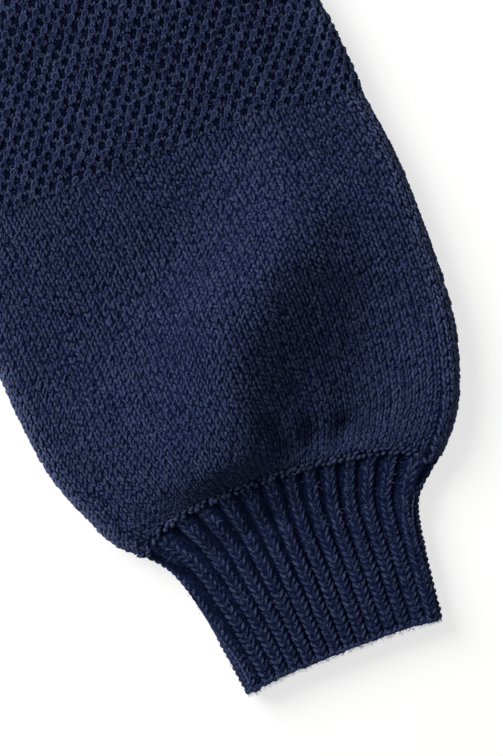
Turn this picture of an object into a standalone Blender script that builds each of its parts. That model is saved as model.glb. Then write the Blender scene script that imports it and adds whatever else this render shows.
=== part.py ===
# Oversized chunky sweater lying flat on its back, front up.
# +X is across the body, +Y runs from hem to neck, +Z is up off the surface it lies on.
# Every piece is a knitted wall: two flat panels for the body and flattened tubes for
# the sleeves, the rib cuffs, the hem rib and the neckband.

import math
from collections import namedtuple

import bmesh
import bpy
import numpy as np

# Driving dimensions, in metres
WALL = 0.0030  # plain and textured knit
RIB_WALL = 0.0032  # 1x1 rib is a little fuller
SEAM_GAP = 0.0003  # clearance where two pieces are linked
LAYER_GAP = 0.0007  # between the upper and lower layer where they lie together
NECK_HALF = 0.100  # half the neck's width at the shoulder points
NECK_Y = 0.305  # height of the neck's shoulder points above the middle of the garment
FRONT_DROP = 0.090  # how far the front neckline dips
BACK_DROP = 0.020
BAND_Y = 0.330  # free edge of the neckband at the shoulders
BAND_TAPER = 0.016  # how much narrower the free edge is on each side
SHOULDER_X = 0.290  # end of the dropped shoulder
SHOULDER_Y = 0.270
UNDERARM_X = 0.310
UNDERARM_Y = 0.060
BODY_HEM_Y = -0.265  # the body's lower edge, where the hem rib is linked
HEM_Y = -0.330  # free edge of the hem rib
HEM_TAPER = 0.011  # how far the hem rib draws in on each side
FLAT_HEIGHT = 2 * WALL + LAYER_GAP  # of the two body panels together
RIB_HEIGHT = 2 * RIB_WALL + LAYER_GAP
ROLL = FLAT_HEIGHT - 0.0012  # radius of the front's side edge, which rolls down
TUCK = 0.0046  # how far inside that edge the back panel ends
UNDERARM_TURN = 0.008  # length of side over which that roll ends at the underarm
COLOURS = {
    "knit": (0.020, 0.028, 0.070, 1.0),
    "rib": (0.012, 0.017, 0.043, 1.0),
}

# The body's side, from the hem seam up to the underarm
Side = namedtuple("Side", "y half_width")
SIDES = (
    Side(BODY_HEM_Y, 0.286),
    Side(-0.235, 0.300),
    Side(-0.120, 0.314),
    Side(-0.030, 0.3125),
    Side(UNDERARM_Y, UNDERARM_X),
)

# One row for each section of a flattened tube: its two folded edges, the radius of
# those folds, its full height and how far its middle bows back along the tube
Ring = namedtuple("Ring", "outer_x outer_y inner_x inner_y edge height bow")
SEAM_RING = (0.6261, -0.2023, 0.4963, -0.2443, 0.0075, 0.0175, 0.0140)
SLEEVE_RINGS = (
    Ring(SHOULDER_X, SHOULDER_Y, UNDERARM_X, UNDERARM_Y, FLAT_HEIGHT / 2, FLAT_HEIGHT, 0),
    Ring(0.3600, 0.2330, 0.3270, 0.0240, 0.0060, 0.0170, 0.0),
    Ring(0.4360, 0.1750, 0.3480, -0.0110, 0.0080, 0.0240, 0.0),
    Ring(0.5110, 0.0920, 0.3730, -0.0500, 0.0090, 0.0300, 0.0),
    Ring(0.5740, -0.0110, 0.4020, -0.0950, 0.0095, 0.0330, 0.0),
    Ring(0.5925, -0.0490, 0.4165, -0.1225, 0.0095, 0.0335, 0.0),
    Ring(0.6100, -0.0830, 0.4310, -0.1520, 0.0095, 0.0340, 0.0),
    Ring(0.6294, -0.1372, 0.4572, -0.2065, 0.0095, 0.0335, 0.0040),
    Ring(0.6336, -0.1687, 0.4786, -0.2321, 0.0090, 0.0300, 0.0090),
    Ring(0.6315, -0.1876, 0.4865, -0.2395, 0.0085, 0.0250, 0.0120),
    Ring(*SEAM_RING),
)
CUFF_RINGS = (
    Ring(*SEAM_RING),
    Ring(0.6185, -0.2128, 0.5072, -0.2489, 0.0072, 0.0160, 0.0100),
    Ring(0.6160, -0.2233, 0.5156, -0.2564, 0.0070, 0.0150, 0.0070),
    Ring(0.6193, -0.2422, 0.5290, -0.2774, 0.0070, 0.0145, 0.0035),
    Ring(0.6256, -0.2690, 0.5425, -0.3014, 0.0068, 0.0140, 0.0020),
)

# The largest folds: soft ridges (up) and troughs (down) from one end to the other
Fold = namedtuple("Fold", "x0 y0 x1 y1 width height")
SLEEVE_FOLDS = (
    Fold(0.545, -0.030, 0.536, -0.100, 0.016, 0.0040),
    Fold(0.536, -0.100, 0.500, -0.185, 0.018, 0.0050),
    Fold(0.583, -0.105, 0.560, -0.196, 0.011, -0.0060),
    Fold(0.345, 0.040, 0.420, 0.085, 0.014, 0.0045),
    Fold(0.375, 0.000, 0.450, 0.030, 0.013, 0.0040),
)
FRONT_FOLDS = (
    Fold(0.290, 0.040, 0.170, 0.110, 0.020, 0.0050),
    Fold(0.285, -0.010, 0.120, -0.030, 0.024, 0.0045),
    Fold(0.235, -0.225, 0.215, -0.130, 0.022, 0.0045),
    Fold(0.110, -0.230, 0.120, -0.140, 0.024, 0.0040),
    Fold(0.000, -0.228, -0.015, -0.150, 0.022, 0.0038),
)

# How finely each shape is cut into flat faces
EDGE_STEPS = 4  # round one folded edge
TOP_STEPS = 12  # across the upper layer
BASE_STEPS = 5  # across the lower layer
SHOULDER_COLUMNS = 4
SIDE_ROWS = 10
ARMHOLE_ROWS = 6


def smooth(x):
    # 0 below 0, 1 above 1, and an even S between
    x = np.clip(x, 0.0, 1.0)
    return x * x * (3.0 - 2.0 * x)


def through(rows, steps):
    # Catmull-Rom curve through the rows of a table, with this many steps to a row
    rows = np.array(rows, float)
    padded = np.vstack([2 * rows[0] - rows[1], rows, 2 * rows[-1] - rows[-2]])
    points = []
    for i in range(len(rows) - 1):
        a, b, c, d = padded[i : i + 4]
        for k in range(steps):
            t = k / steps
            points.append(
                b
                + 0.5 * t * (c - a)
                + t * t * (a - 2.5 * b + 2 * c - 0.5 * d)
                + t**3 * (1.5 * (b - c) + 0.5 * (d - a))
            )
    points.append(rows[-1])
    return np.array(points)


def side_width(y):
    # half the body's width at this height: a curve up to the underarm, then the
    # straight armhole up to the shoulder
    curve = through(SIDES, 6)
    heights = np.append(curve[:, 0], [SHOULDER_Y, NECK_Y])
    return np.interp(y, heights, np.append(curve[:, 1], [SHOULDER_X, SHOULDER_X]))


def relief(folds, x, y):
    # height that the folds add: each falls away from its own line as a bell curve
    total = np.zeros_like(x)
    for f in folds:
        run = np.array([f.x1 - f.x0, f.y1 - f.y0])
        along = ((x - f.x0) * run[0] + (y - f.y0) * run[1]) / (run @ run)
        along = np.clip(along, 0.0, 1.0)
        away = np.hypot(x - f.x0 - along * run[0], y - f.y0 - along * run[1])
        total += f.height * np.exp(-0.5 * (away / f.width) ** 2)
    return total


def section(half_width, edge, height):
    # One section across a flattened tube: a flat base, round folded edges and a parabola
    # on top that leaves the edges at their own slope. Gives the places across, the
    # heights, how much of the folds each point takes, which points are in the upper
    # layer and how far out the parabola reaches.
    slope = 0.0
    for _ in range(8):
        reach = half_width - edge + edge * math.sin(slope)
        start = edge + edge * math.cos(slope)
        slope = math.atan2(2 * (height - start), reach)
    turn = np.linspace(-math.pi / 2, math.pi / 2 - slope, EDGE_STEPS + 1)
    edge_x = half_width - edge + edge * np.cos(turn)
    edge_z = edge + edge * np.sin(turn)
    top_x = reach * np.cos(np.linspace(0, math.pi, TOP_STEPS + 1))[1:-1]
    top_z = start + (height - start) * (1 - (top_x / reach) ** 2)
    base_x = np.linspace(-edge_x[0], edge_x[0], BASE_STEPS + 1)[1:-1]
    x = np.concatenate([edge_x, top_x, -edge_x[::-1], base_x])
    z = np.concatenate([edge_z, top_z, edge_z[::-1], np.zeros_like(base_x)])
    fade = np.zeros_like(x)
    upper = np.zeros_like(x)
    tops = slice(EDGE_STEPS + 1, EDGE_STEPS + TOP_STEPS)
    fade[tops] = 1 - (top_x / reach) ** 4
    upper[EDGE_STEPS // 2 : 2 * EDGE_STEPS + TOP_STEPS - EDGE_STEPS // 2 + 1] = 1
    return x, z, fade, upper, reach


def tube_rings(rings, wall, folds, bow_power, lower_bow):
    # points of every section, its outer skin first and then its inner skin
    flat = []
    for number, row in enumerate(rings):
        ring = Ring(*row)
        outer = np.array([ring.outer_x, ring.outer_y])
        inner = np.array([ring.inner_x, ring.inner_y])
        half_width = np.linalg.norm(outer - inner) / 2
        across = (outer - inner) / (2 * half_width)
        back = np.array([-across[1], across[0]])
        ends = min(number, len(rings) - 1 - number)
        skins = []
        for inset in (0.0, wall):
            x, z, fade, upper, reach = section(
                half_width - inset, ring.edge - inset, ring.height - 2 * inset
            )
            bend = np.clip(1 - (x / reach) ** 2, 0, 1) ** bow_power
            bow = bend * np.where(upper > 0, ring.bow, ring.bow * lower_bow)
            place = (outer + inner) / 2 + x[:, None] * across + bow[:, None] * back
            rise = relief(folds, place[:, 0], place[:, 1]) * fade * smooth(ends / 3)
            skins.append(np.column_stack([place, z + inset + rise]))
        flat.append(np.concatenate(skins))
    return np.array(flat)


def tube_faces(ring_count, around):
    # quads over the outer skin, the inner skin and the two open ends
    faces = []
    for r in range(ring_count - 1):
        for skin in (0, around):
            for i in range(around):
                j = (i + 1) % around
                here = 2 * around * r + skin
                there = here + 2 * around
                faces.append((here + i, here + j, there + j, there + i))
    for r in (0, ring_count - 1):
        start = 2 * around * r
        for i in range(around):
            j = (i + 1) % around
            faces.append((start + i, start + j, start + around + j, start + around + i))
    return faces


def add_object(name, mesh, material):
    ob = bpy.data.objects.new(name, mesh)
    parts.objects.link(ob)
    mesh.materials.append(material)
    mesh.shade_smooth()
    return ob


def make_tube(name, rings, wall, folds, material, side=1, bow_power=1.0, lower_bow=1.0):
    # a loft through the rings, mirrored to the other side of the body for side -1
    points = tube_rings(rings, wall, folds, bow_power, lower_bow)
    ring_count, doubled = points.shape[:2]
    points = points.reshape(-1, 3) * [side, 1, 1]
    mesh = bpy.data.meshes.new(name)
    mesh.from_pydata(points.tolist(), [], tube_faces(ring_count, doubled // 2))
    bm = bmesh.new()
    bm.from_mesh(mesh)
    bmesh.ops.recalc_face_normals(bm, faces=bm.faces)
    bm.to_mesh(mesh)
    bm.free()
    add_object(name, mesh, material)


def off_the_seam(rings):
    # the same rings, with the first one moved square off its own line by the seam's gap
    first = rings[0]
    run = np.array([first.outer_x - first.inner_x, first.outer_y - first.inner_y])
    step = SEAM_GAP * np.array([run[1], -run[0]]) / np.linalg.norm(run)
    moved = first._replace(
        outer_x=first.outer_x + step[0],
        outer_y=first.outer_y + step[1],
        inner_x=first.inner_x + step[0],
        inner_y=first.inner_y + step[1],
    )
    return [moved, *rings[1:]]


def rolled(distance):
    # how far a rolled edge has dropped at this distance from it: a quarter circle
    return ROLL - np.sqrt(ROLL**2 - np.clip(ROLL - distance, 0, ROLL) ** 2)


def neckline(x, drop):
    # the neck scoop is half an ellipse, and the shoulders slope away from it
    across = np.clip(np.abs(x) / NECK_HALF, 0, 1)
    fall = (SHOULDER_Y - NECK_Y) / (SHOULDER_X - NECK_HALF)
    shoulder = NECK_Y + fall * (np.abs(x) - NECK_HALF)
    return np.where(np.abs(x) < NECK_HALF, NECK_Y - drop * np.sqrt(1 - across**2), shoulder)


def panel_rows(top):
    # heights from the hem seam up the side, then up the armhole to the roll at the top
    lower = np.linspace(BODY_HEM_Y, UNDERARM_Y - UNDERARM_TURN, SIDE_ROWS)
    return np.append(lower, np.linspace(UNDERARM_Y, top - ROLL, ARMHOLE_ROWS))


def make_front(material):
    # A grid of points over the upper layer, in columns from hem to neck or shoulder.
    # Its sides and shoulders roll down over the back panel. The armholes, neck and hem
    # are left level for the pieces that are linked to them.
    turned = np.array([0.5, 0.15, 0.0]) * ROLL
    neck = NECK_HALF * np.sin(np.linspace(-math.pi / 2, math.pi / 2, TOP_STEPS + 1))
    shoulder = np.linspace(NECK_HALF, SHOULDER_X - ROLL, SHOULDER_COLUMNS + 1)[1:]
    columns = [(x, ROLL) for x in (*-shoulder[::-1], *neck, *shoulder)]
    columns = [(inset - SHOULDER_X, inset) for inset in turned[::-1]] + columns
    columns += [(SHOULDER_X - inset, inset) for inset in turned]
    points = []
    for top_x, inset in columns:
        top = float(neckline(np.array(top_x), FRONT_DROP))
        heights = np.concatenate([panel_rows(top), top - turned])
        across = top_x * (side_width(heights) - inset) / (side_width(top) - inset)
        points.append(np.column_stack([across, heights, top - heights]))
    x, y, from_top = np.moveaxis(np.array(points), 2, 0)
    from_side = side_width(y) - np.abs(x)
    side_part = y < UNDERARM_Y - UNDERARM_TURN / 2
    top_part = smooth((np.abs(x) - NECK_HALF) / 0.010)
    dip = np.maximum(rolled(from_side) * side_part, rolled(from_top) * top_part)
    edge = np.minimum.reduce([from_side, from_top, y - BODY_HEM_Y])
    rise = relief(FRONT_FOLDS, np.abs(x), y) * smooth((edge - ROLL) / 0.03)
    grid = np.stack([x, y, FLAT_HEIGHT - dip + rise], axis=-1)
    wide, tall = x.shape
    corner = np.arange(wide * tall).reshape(wide, tall)[:-1, :-1].ravel()
    faces = np.column_stack([corner, corner + tall, corner + tall + 1, corner + 1])
    mesh = bpy.data.meshes.new("front")
    mesh.from_pydata(grid.reshape(-1, 3).tolist(), [], faces.tolist())
    ob = add_object("front", mesh, material)
    solid = ob.modifiers.new("Cloth", "SOLIDIFY")
    solid.thickness = WALL
    solid.offset = -1


def back_outline():
    # half the outline from the hem to the neck, mirrored to make the whole of it
    side_y = panel_rows(SHOULDER_Y)[:SIDE_ROWS]
    side = np.column_stack([side_width(side_y) - TUCK, side_y])
    armhole_y = np.array([UNDERARM_Y + UNDERARM_TURN, SHOULDER_Y - TUCK])
    armhole = np.column_stack([side_width(armhole_y), armhole_y])
    neck_x = NECK_HALF * np.sin(np.linspace(math.pi / 2, 0, TOP_STEPS // 2 + 1))
    neck_y = neckline(neck_x, BACK_DROP)
    neck_y[0] -= TUCK
    half = np.vstack([side, armhole, np.column_stack([neck_x, neck_y])])
    other = half[-2::-1] * [-1, 1]
    return np.vstack([half, other])


def make_back(material):
    # a flat outline with half its thickness each way, its edge rounded over
    curve = bpy.data.curves.new("back", "CURVE")
    curve.dimensions = "2D"
    curve.fill_mode = "BOTH"
    curve.bevel_depth = 0.4 * WALL
    curve.extrude = WALL / 2 - curve.bevel_depth
    curve.bevel_resolution = 1
    curve.offset = -curve.bevel_depth
    outline = back_outline()
    spline = curve.splines.new("POLY")
    spline.points.add(len(outline) - 1)
    for point, (x, y) in zip(spline.points, outline):
        point.co = (x, y, 0, 1)
    spline.use_cyclic_u = True
    ob = bpy.data.objects.new("back", curve)
    ob.location.z = WALL / 2
    curve.materials.append(material)
    parts.objects.link(ob)


def make_material(name, colour):
    material = bpy.data.materials.new(name)
    material.use_nodes = True
    shader = material.node_tree.nodes["Principled BSDF"]
    shader.inputs["Base Color"].default_value = colour
    shader.inputs["Roughness"].default_value = 0.9
    shader.inputs["Metallic"].default_value = 0.0
    return material


def hem_rings():
    # hem rib: its two folded sides draw in towards the free edge, most of it near the seam
    rings = []
    for part, drawn in ((0.0, 0.0), (0.5, 0.65), (1.0, 1.0)):
        half = SIDES[0].half_width - drawn * HEM_TAPER
        y = BODY_HEM_Y - SEAM_GAP + part * (HEM_Y - BODY_HEM_Y + SEAM_GAP)
        rings.append(Ring(half, y, -half, y, RIB_HEIGHT / 2, RIB_HEIGHT, 0.0))
    return rings


def neck_rings():
    # neckband: the front half dips with the scoop, the back half with the back neck
    edge = RIB_HEIGHT / 2
    rings = []
    for part in (0.0, 0.5, 1.0):
        half = NECK_HALF - SEAM_GAP - part * BAND_TAPER + edge
        y = NECK_Y + SEAM_GAP + part * (BAND_Y - NECK_Y - SEAM_GAP)
        rings.append(Ring(-half, y, half, y, edge, RIB_HEIGHT, FRONT_DROP))
    return rings


for ob in list(bpy.data.objects):
    bpy.data.objects.remove(ob, do_unlink=True)

parts = bpy.data.collections.new("oversized_sweater")
bpy.context.scene.collection.children.link(parts)

make_front(make_material("front_knit", COLOURS["knit"]))
make_back(make_material("back_knit", COLOURS["knit"]))
make_tube("hem_rib", hem_rings(), RIB_WALL, (), make_material("hem_rib", COLOURS["rib"]))
make_tube(
    "neckband",
    neck_rings(),
    RIB_WALL,
    (),
    make_material("neck_rib", COLOURS["rib"]),
    bow_power=0.5,
    lower_bow=BACK_DROP / FRONT_DROP,
)
for name, side in (("left", 1), ("right", -1)):
    knit = make_material(f"sleeve_{name}_knit", COLOURS["knit"])
    rib = make_material(f"cuff_{name}_rib", COLOURS["rib"])
    sleeve = through(off_the_seam(SLEEVE_RINGS), 2)
    cuff = through(off_the_seam(CUFF_RINGS), 2)
    make_tube(f"sleeve_{name}", sleeve, WALL, SLEEVE_FOLDS, knit, side)
    make_tube(f"cuff_{name}", cuff, RIB_WALL, (), rib, side)
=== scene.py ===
from functools import partial
from math import pi

import bpy
import numpy as np
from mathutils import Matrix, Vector


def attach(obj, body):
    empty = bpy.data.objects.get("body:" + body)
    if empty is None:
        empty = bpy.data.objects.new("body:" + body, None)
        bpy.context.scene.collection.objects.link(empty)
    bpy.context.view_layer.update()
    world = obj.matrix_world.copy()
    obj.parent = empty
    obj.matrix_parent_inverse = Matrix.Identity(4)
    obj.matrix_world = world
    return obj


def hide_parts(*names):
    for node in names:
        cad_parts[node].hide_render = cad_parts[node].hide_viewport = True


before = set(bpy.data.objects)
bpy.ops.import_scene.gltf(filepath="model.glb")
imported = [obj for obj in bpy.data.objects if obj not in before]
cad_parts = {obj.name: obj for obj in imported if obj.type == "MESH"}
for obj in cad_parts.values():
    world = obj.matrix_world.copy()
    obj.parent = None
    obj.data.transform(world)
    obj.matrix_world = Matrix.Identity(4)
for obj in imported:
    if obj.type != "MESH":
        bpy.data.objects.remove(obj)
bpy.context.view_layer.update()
draw = np.random.default_rng(20)
sweater = bpy.data.collections.new("sweater")
bpy.context.scene.collection.children.link(sweater)
print("frame loaded")

# the camera, the floor and the light
view = {
    "centre": (0.5456, -0.1700),  # the sleeve end that fills the view
    "height": 1.209,
    "lens": 136.06,
}
stage = {
    "size": 40.0,
    "colour": (0.33, 0.33, 0.325, 1.0),
    "glow": 0.705,  # what the paper adds to itself where it is looked at
    "farGlow": 1.0,  # the same, far away where the lamp no longer reaches
    "near": 0.9,  # metres from the middle where the change starts
    "far": 2.4,
    "drop": 0.0004,  # the floor is this far under the cloth
}
light = {
    "keyFrom": (-1.72, 1.13, 1.60),  # from the sleeve end: upper left
    "keySize": 1.75,
    "keyPower": 91.96,
    "sky": 0.234,
}
white = (1.0, 1.0, 1.0, 1.0)


def setInputs(tree, node, values):
    # each input gets a plain value, or a link from another node's output
    for key, value in values.items():
        if isinstance(value, bpy.types.NodeSocket):
            tree.links.new(value, node.inputs[key])
        else:
            node.inputs[key].default_value = value


def addNode(tree, kind, values=None, **settings):
    # one shader node with its own settings and its inputs
    node = tree.nodes.new("ShaderNode" + kind)
    for key, setting in settings.items():
        setattr(node, key, setting)
    setInputs(tree, node, values or {})
    return node


def calc(tree, operation, *values):
    # one Math node; each value is a number or another node's output
    return addNode(tree, "Math", dict(enumerate(values)), operation=operation).outputs[0]


def lookedAt(tree):
    # 1 for rays that come from the eye, straight, by a reflection or through glass
    rays = addNode(tree, "LightPath").outputs
    return calc(tree, "ADD", calc(tree, "ADD", rays["Is Camera Ray"], rays["Is Glossy Ray"]),
                rays["Is Transmission Ray"])


def makeFloor():
    # pale paper that glows only where it is looked at, more so far from the lamp
    size, level = stage["size"], -stage["drop"]
    mesh = bpy.data.meshes.new("floor")
    mesh.from_pydata([(-size, -size, level), (size, -size, level), (size, size, level),
                      (-size, size, level)], [], [(0, 1, 2, 3)])
    paper = bpy.data.materials.new("floorPaper")
    paper.use_nodes = True
    mesh.materials.append(paper)
    tree = paper.node_tree
    away = addNode(tree, "VectorMath", {0: addNode(tree, "TexCoord").outputs["Object"]}, operation="LENGTH")
    glow = addNode(tree, "MapRange", {
        "Value": away.outputs["Value"], "From Min": stage["near"], "From Max": stage["far"],
        "To Min": stage["glow"], "To Max": stage["farGlow"]}, interpolation_type="SMOOTHSTEP")
    setInputs(tree, tree.nodes["Principled BSDF"], {
        "Base Color": stage["colour"], "Roughness": 0.95, "Specular IOR Level": 0.0,
        "Emission Color": white,
        "Emission Strength": calc(tree, "MULTIPLY", lookedAt(tree), glow.outputs[0])})
    return bpy.data.objects.new("floor", mesh)


def makeStudio():
    # a camera straight above, one big soft lamp and a plain pale sky
    scene = bpy.context.scene
    camera = bpy.data.cameras.new("camera")
    camera.lens = view["lens"]
    camera.clip_start = 0.05
    eye = bpy.data.objects.new("camera", camera)
    eye.location = (*view["centre"], view["height"])
    lamp = bpy.data.lights.new("key", "AREA")
    lamp.shape = "DISK"
    lamp.size = light["keySize"]
    lamp.energy = light["keyPower"]
    key = bpy.data.objects.new("key", lamp)
    key.location = np.add([*view["centre"], 0.0], light["keyFrom"])
    key.rotation_euler = (-Vector(light["keyFrom"])).to_track_quat("-Z", "Y").to_euler()
    floor = makeFloor()
    for thing in (eye, key, floor):
        scene.collection.objects.link(thing)
    scene.camera = eye
    world = bpy.data.worlds.new("studio")
    world.use_nodes = True
    scene.world = world
    tree = world.node_tree
    sky = calc(tree, "MULTIPLY_ADD", lookedAt(tree), 1.0 - light["sky"], light["sky"])
    setInputs(tree, tree.nodes["Background"], {"Color": white, "Strength": sky})
    scene.view_settings.view_transform = "Standard"


makeStudio()
print("camera, floor and light made")


# sums on whole arrays that every piece uses
def smooth(x):
    # an even S from 0 to 1
    x = np.clip(x, 0.0, 1.0)
    return x * x * (3.0 - 2.0 * x)


def pair(*values):
    # numbers or arrays side by side, as the last axis of one array
    return np.stack(np.broadcast_arrays(*values), -1)


def everyPair(a, b):
    # each value of a with each value of b, as two flat lists
    return (g.ravel() for g in np.meshgrid(a, b, indexing="ij"))


def scatter(count, kinds):
    # random numbers of spread 1: one row of count for each kind
    return draw.normal(0, 1, (count, kinds)).T


def lengthAlong(points):
    # distance from the first point of each line; lines run along the last axis but one
    steps = np.linalg.norm(np.diff(points, axis=-2), axis=-1)
    return np.concatenate([np.zeros_like(steps[..., :1]), np.cumsum(steps, axis=-1)], axis=-1)


def readLine(at, known, line):
    # points of a line, read off at new values of a measure known along it
    return pair(*(np.interp(at, known, line[:, k]) for k in range(3)))


def alongTable(table, at):
    # Catmull-Rom curve through a table's rows, read at any row number
    rows = np.array(table, float)
    padded = np.vstack([2 * rows[0] - rows[1], rows, 2 * rows[-1] - rows[-2]])
    at = np.clip(np.asarray(at, float), 0, len(rows) - 1)
    first = np.minimum(at.astype(int), len(rows) - 2)
    t = (at - first)[..., None]
    a, b, c, d = (padded[first + k] for k in range(4))
    return (b + 0.5 * t * (c - a) + t**2 * (a - 2.5 * b + 2 * c - 0.5 * d)
            + t**3 * (1.5 * (b - c) + 0.5 * (d - a)))


def creaseHeight(creases, x, y):
    # each crease falls away from its own line as a bell curve
    total = np.zeros(np.broadcast(x, y).shape)
    for width, height, ((x0, y0), (x1, y1)) in creases:
        runX, runY = x1 - x0, y1 - y0
        along = ((x - x0) * runX + (y - y0) * runY) / (runX**2 + runY**2)
        along = np.clip(along, 0.0, 1.0)
        away = np.hypot(x - x0 - along * runX, y - y0 - along * runY)
        total = total + height * np.exp(-0.5 * (away / width) ** 2)
    return total


def tubeSkin(rings, v, q, inset, creases=(), bowPower=0.4, lowerBow=1.0):
    # A flattened tube. v is the place along it in rows of its table. q goes once round:
    # 0 at the outer fold, a quarter at the middle of the top, a half at the inner fold.
    # Section: flat base, round folds, and a parabola on top that leaves the folds at
    # their own slope. A bow moves the middle of a section off the straight line between
    # its folds, by (1 - x^2) to the power bowPower.
    v, q = np.broadcast_arrays(np.asarray(v, float), np.asarray(q, float) % 1.0)
    row = alongTable(rings, v)
    outer, inner = row[..., 0:2], row[..., 2:4]
    width = np.linalg.norm(outer - inner, axis=-1)
    half = width / 2 - inset
    edge = row[..., 4] - inset
    height = row[..., 5] - 2 * inset
    slope = np.zeros_like(half)
    for _ in range(8):  # settles on the slope at which the parabola meets the folds
        reach = half - edge + edge * np.sin(slope)
        start = edge + edge * np.cos(slope)
        slope = np.arctan2(2 * (height - start), reach)
    top = q <= 0.5
    m = np.where(top, 1 - 4 * q, 4 * q - 3)
    side = np.where(m < 0, -1.0, 1.0)
    turn = np.where(top, pi / 2 - slope, pi / 2)
    level = np.where(top, reach, half - edge)
    share = edge * turn / (edge * turn + level)
    onTurn = np.abs(m) > 1 - share
    angle = turn * (1 - np.abs(m)) / share * np.where(top, 1, -1)
    flatX = level * m / (1 - share)
    parabola = start + (height - start) * (1 - (flatX / reach) ** 2)
    x = np.where(onTurn, side * (half - edge + edge * np.cos(angle)), flatX)
    z = np.where(onTurn, edge + edge * np.sin(angle), np.where(top, parabola, 0.0))
    across = (outer - inner) / width[..., None]
    back = pair(-across[..., 1], across[..., 0])
    bow = np.clip(1 - (x / reach) ** 2, 0, 1) ** bowPower * row[..., 6]
    bow = bow * np.where(z >= edge, 1.0, lowerBow)
    place = (outer + inner) / 2 + x[..., None] * across + bow[..., None] * back
    fade = np.where(top & ~onTurn, 1 - (flatX / reach) ** 4, 0.0)
    ends = np.minimum(v, len(rings) - 1 - v) * 2 / 3
    rise = creaseHeight(creases, place[..., 0], place[..., 1]) * fade * smooth(ends)
    return np.dstack([place[..., 0], place[..., 1], z + inset + rise])


def normalsOf(points):
    # unit normals of a grid of points, from the differences along its two directions
    n = np.cross(np.gradient(points, axis=1), np.gradient(points, axis=0))
    return n / np.maximum(np.linalg.norm(n, axis=-1, keepdims=True), 1e-12)


def readGrid(grid, spot):
    # straight-line blend between the four points of a grid nearest to (row, column)
    i, j = np.moveaxis(np.clip(spot, 0, np.array(grid.shape[:2]) - 1.001), -1, 0)
    a, b = i.astype(int), j.astype(int)
    s, t = (i - a)[..., None], (j - b)[..., None]
    return ((1 - s) * ((1 - t) * grid[a, b] + t * grid[a, b + 1])
            + s * ((1 - t) * grid[a + 1, b] + t * grid[a + 1, b + 1]))


class Sheet:
    # a surface that stitches are laid on: points on an even grid of (along, across)
    def __init__(self, points, first, step):
        # first is the place of the grid's first point, step the way to the next
        self.points = points
        self.normals = -normalsOf(points)
        self.first, self.step = np.array(first), np.array(step)

    def at(self, place, height):
        # the surface's own point, moved out along its normal by height
        spot = (place - self.first) / self.step
        return readGrid(self.points, spot) + height[..., None] * readGrid(self.normals, spot)

    def scaleAt(self, place):
        # metres for each unit along and across the sheet, over one step of its grid
        inside = np.array(self.points.shape[:2]) - 1.5
        spot = np.clip((place - self.first) / self.step, 0.5, inside)
        sizes = []
        for half in ((0.5, 0.0), (0.0, 0.5)):
            run = readGrid(self.points, spot + half) - readGrid(self.points, spot - half)
            sizes.append(np.linalg.norm(run, axis=-1))
        return np.maximum(pair(*sizes) / self.step, 1e-6)


def placePiece(name, mesh, slot):
    # a mesh as one object of the sweater, with its body; the slot is not used
    piece = bpy.data.objects.new(name, mesh)
    sweater.objects.link(piece)
    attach(piece, "root")
    print(f"{name}: {len(mesh.loops) - 2 * len(mesh.polygons)} triangles")
    return piece


def addPiece(name, points, faces, yarn, marks, material, slot):
    # One mesh from an array of points and a list of face arrays. The OFBake map is the
    # plan view, the yarn map (one pair a corner) follows the strands or the knit, and
    # marks are numbers for each point.
    mesh = bpy.data.meshes.new(name)
    points = np.asarray(points, np.float32).reshape(-1, 3)
    corners = np.concatenate([f.ravel() for f in faces]).astype(np.int32)
    sizes = np.concatenate([np.full(len(f), f.shape[1]) for f in faces])
    starts = np.concatenate([[0], np.cumsum(sizes)[:-1]]).astype(np.int32)
    mesh.vertices.add(len(points))
    mesh.vertices.foreach_set("co", points.ravel())
    mesh.loops.add(len(corners))
    mesh.loops.foreach_set("vertex_index", corners)
    mesh.polygons.add(len(starts))
    mesh.polygons.foreach_set("loop_start", starts)
    mesh.update(calc_edges=True)
    mesh.shade_smooth()
    plan = points[corners][:, :2]
    plan = 0.01 + 0.98 * (plan - plan.min(0)) / (plan.max(0) - plan.min(0)).max()
    yarn = np.concatenate([y.reshape(-1, 2) for y in yarn])
    for key, uv in (("OFBake", plan), ("yarn", yarn)):
        mesh.uv_layers.new(name=key).data.foreach_set("uv", uv.astype(np.float32).ravel())
    for key, values in marks.items():
        mark = mesh.attributes.new(key, "FLOAT", "POINT")
        mark.data.foreach_set("value", np.asarray(values, np.float32).ravel())
    mesh.materials.append(material)
    return placePiece(name, mesh, slot)


# strands of yarn
def repeatFaces(points, corners, places):
    # the same faces on every strand; points is (strands, points of each, 3)
    count, each = points.shape[:2]
    first = (np.arange(count) * each)[:, None, None]
    return (points, [(c + first).reshape(-1, c.shape[1]) for c in corners],
            [np.tile(place, (count, 1, 1)) for place in places])


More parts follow.
